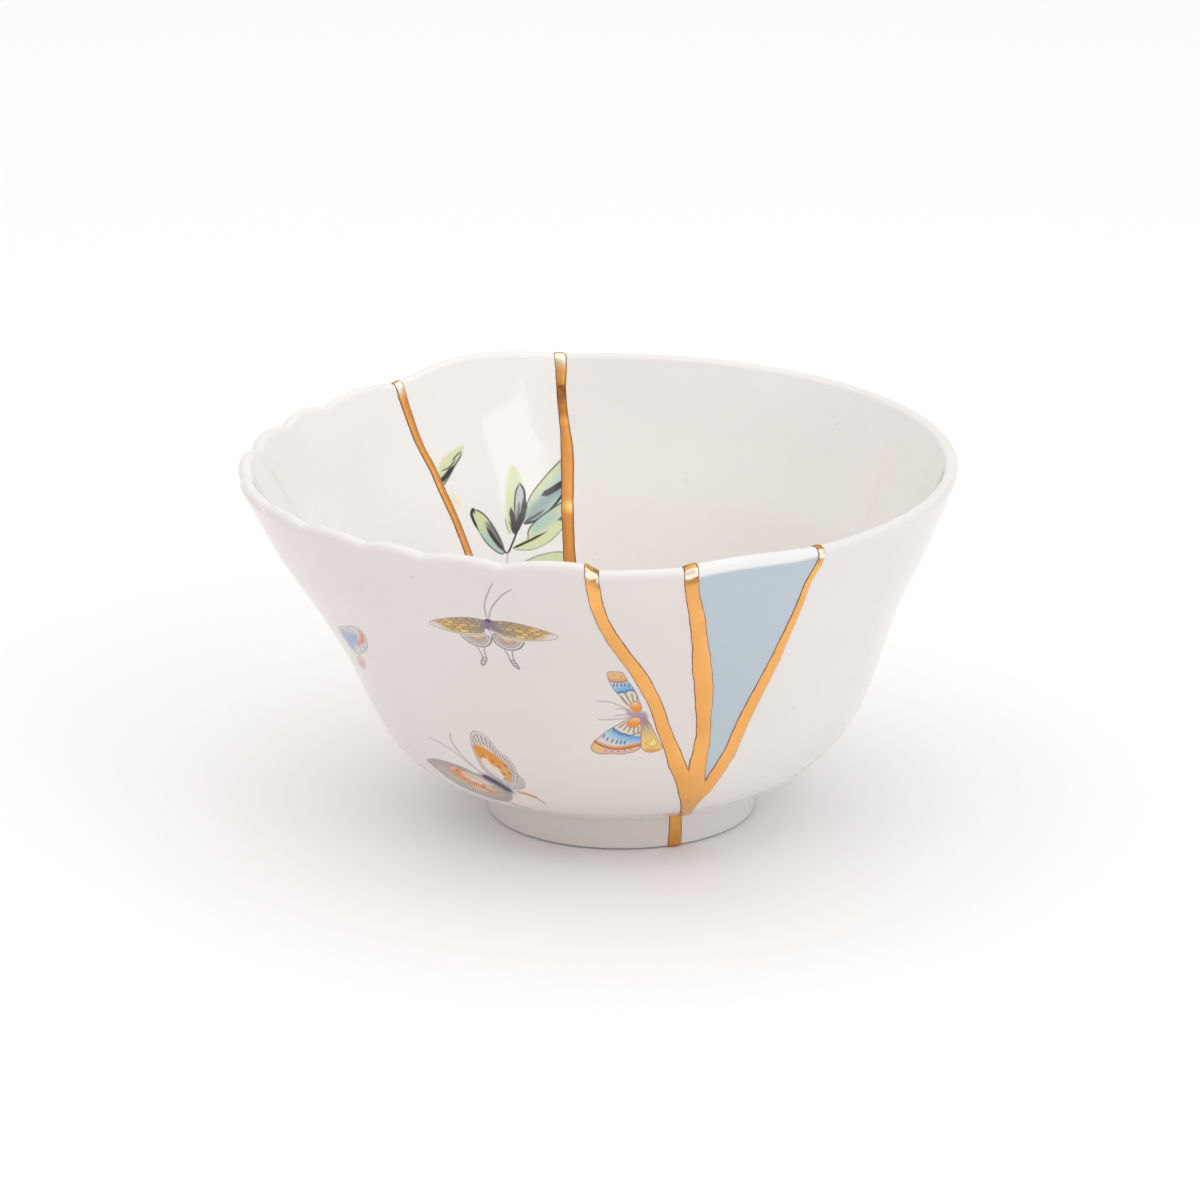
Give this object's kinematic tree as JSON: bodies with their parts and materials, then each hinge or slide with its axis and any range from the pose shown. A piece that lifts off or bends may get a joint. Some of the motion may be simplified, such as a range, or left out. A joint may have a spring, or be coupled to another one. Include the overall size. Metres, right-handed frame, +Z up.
{
  "type": "kintsugi bowl",
  "caption": "Small footed porcelain bowl, broken and rejoined with lines of gold, its shards differing in rim, colour and painting.",
  "frame": {"origin": "on the ground, under the middle of the bowl's outline; the foot ring's centre is 4.7 mm towards +X", "axes": "+Z up out of the bowl's mouth; -Y is the front, with the blue shard and the fork of gold seams; +X is to the right seen from the front"},
  "size_m": [0.1456, 0.1469, 0.076],
  "materials": {
    "porcelain": "clear gloss glaze over warm white porcelain, with painted butterflies and leaves under the glaze",
    "blue_porcelain": "clear gloss glaze, pale blue outside and warm white inside",
    "gold": "bright burnished gold lustre with thin dark edges"
  },
  "bodies": {
    "root": {"shard_scalloped": "porcelain", "shard_wedge": "porcelain", "shard_blue": "blue_porcelain", "shard_plain": "porcelain", "shard_leaf": "porcelain", "gold_seams": "gold"}
  },
  "joints": []
}
